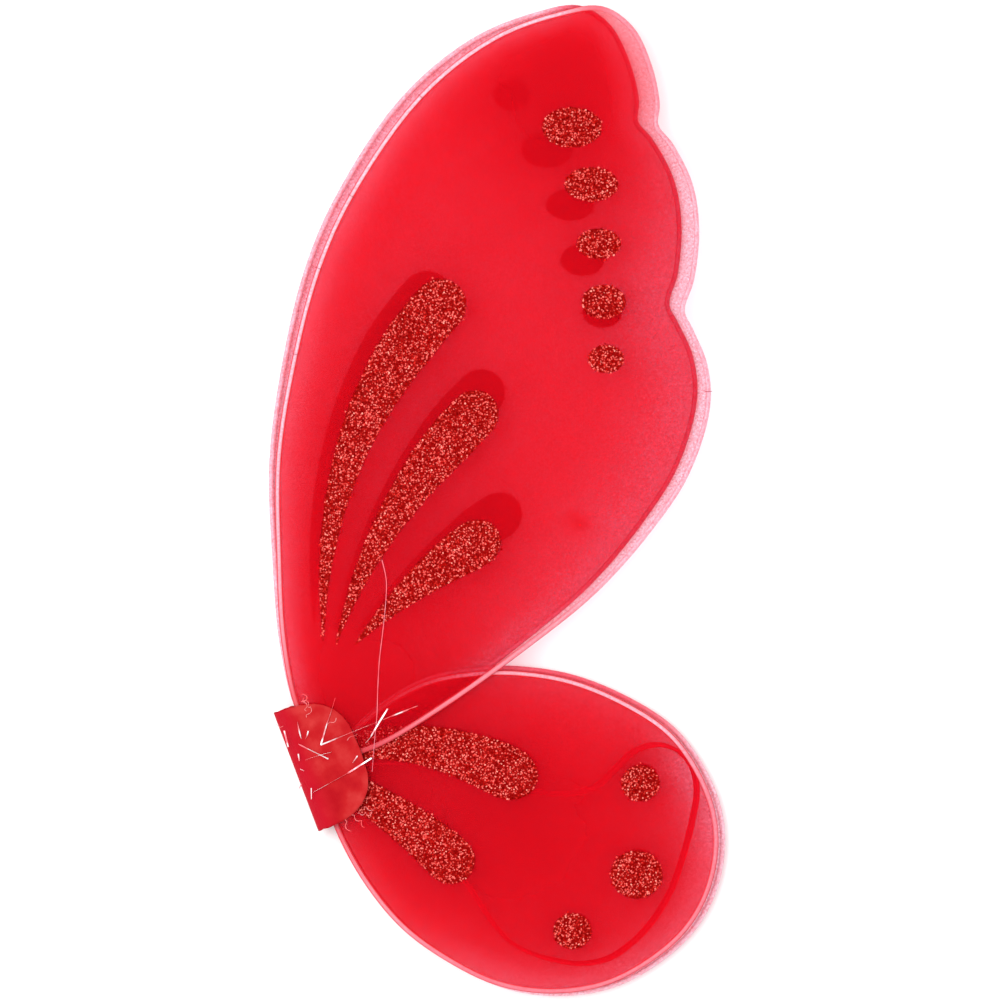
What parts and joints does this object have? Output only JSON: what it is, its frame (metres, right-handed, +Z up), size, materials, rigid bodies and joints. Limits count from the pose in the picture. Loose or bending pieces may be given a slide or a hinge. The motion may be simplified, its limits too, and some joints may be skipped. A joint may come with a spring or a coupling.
{
  "type": "fairy wings",
  "caption": "Folding fairy wings of sheer nylon stretched over bent wire loops, with glitter motifs, a satin centre patch and elastic shoulder loops.",
  "frame": {"origin": "on the resting face, the outer face of the far half of the centre patch, below the middle of the hub", "axes": "+Z up through the folded layers, +Y along the spine towards the upper wings, +X away from the spine"},
  "size_m": [0.291, 0.4717, 0.0213],
  "materials": {
    "coated_wire": "white plastic coat over steel wire",
    "sheer_nylon": "sheer stretched red nylon",
    "glitter": "loose red glitter set in clear glue",
    "satin": "thin red satin, slightly creased",
    "cloth_tape": "dark red cloth tape",
    "hot_glue": "clear set hot glue",
    "elastic": "round braided elastic",
    "tinsel": "pearly film strands"
  },
  "bodies": {
    "far_hub": {"outer_patch_far": "satin", "backing_patch_far": "satin", "binding_tape_far": "cloth_tape", "glue_pad_far": "hot_glue", "shoulder_loop_far": "elastic"},
    "near_hub": {"outer_patch_near": "satin", "backing_patch_near": "satin", "binding_tape_near": "cloth_tape", "glue_pad_near": "hot_glue", "shoulder_loop_near": "elastic", "tinsel_tuft": "tinsel"},
    "near_upper_wing": {"near_upper_wire": "coated_wire", "near_upper_sleeve": "sheer_nylon", "near_upper_glitter_drop_1": "glitter", "near_upper_glitter_drop_2": "glitter", "near_upper_glitter_drop_3": "glitter", "near_upper_glitter_dot_1": "glitter", "near_upper_glitter_dot_2": "glitter", "near_upper_glitter_dot_3": "glitter", "near_upper_glitter_dot_4": "glitter", "near_upper_glitter_dot_5": "glitter"},
    "near_lower_wing": {"near_lower_wire": "coated_wire", "near_lower_sleeve": "sheer_nylon", "near_lower_glitter_drop_1": "glitter", "near_lower_glitter_drop_2": "glitter", "near_lower_glitter_dot_1": "glitter", "near_lower_glitter_dot_2": "glitter", "near_lower_glitter_dot_3": "glitter"},
    "far_upper_wing": {"far_upper_wire": "coated_wire", "far_upper_sleeve": "sheer_nylon", "far_upper_glitter_drop_1": "glitter", "far_upper_glitter_drop_2": "glitter", "far_upper_glitter_drop_3": "glitter", "far_upper_glitter_dot_1": "glitter", "far_upper_glitter_dot_2": "glitter", "far_upper_glitter_dot_3": "glitter", "far_upper_glitter_dot_4": "glitter", "far_upper_glitter_dot_5": "glitter"},
    "far_lower_wing": {"far_lower_wire": "coated_wire", "far_lower_sleeve": "sheer_nylon", "far_lower_glitter_drop_1": "glitter", "far_lower_glitter_drop_2": "glitter", "far_lower_glitter_dot_1": "glitter", "far_lower_glitter_dot_2": "glitter", "far_lower_glitter_dot_3": "glitter"}
  },
  "joints": [
    {"name": "fold", "type": "hinge", "parent": "far_hub", "child": "near_hub", "pos_m": [-0.018, 0, 0.0102], "axis": [0, -1, 0], "range_deg": [0, 180]},
    {"name": "near_upper_flex", "type": "hinge", "parent": "near_hub", "child": "near_upper_wing", "pos_m": [0, 0, 0.0102], "axis": [0, 0, 1], "range_deg": [-4, 4], "stiffness_Nm_per_rad": 0.6},
    {"name": "near_lower_flex", "type": "hinge", "parent": "near_hub", "child": "near_lower_wing", "pos_m": [0, 0, 0.0102], "axis": [0, 0, 1], "range_deg": [-4, 4], "stiffness_Nm_per_rad": 0.6},
    {"name": "far_upper_flex", "type": "hinge", "parent": "far_hub", "child": "far_upper_wing", "pos_m": [0, 0, 0.0102], "axis": [0, 0, 1], "range_deg": [-4, 4], "stiffness_Nm_per_rad": 0.6},
    {"name": "far_lower_flex", "type": "hinge", "parent": "far_hub", "child": "far_lower_wing", "pos_m": [0, 0, 0.0102], "axis": [0, 0, 1], "range_deg": [-4, 4], "stiffness_Nm_per_rad": 0.6}
  ]
}
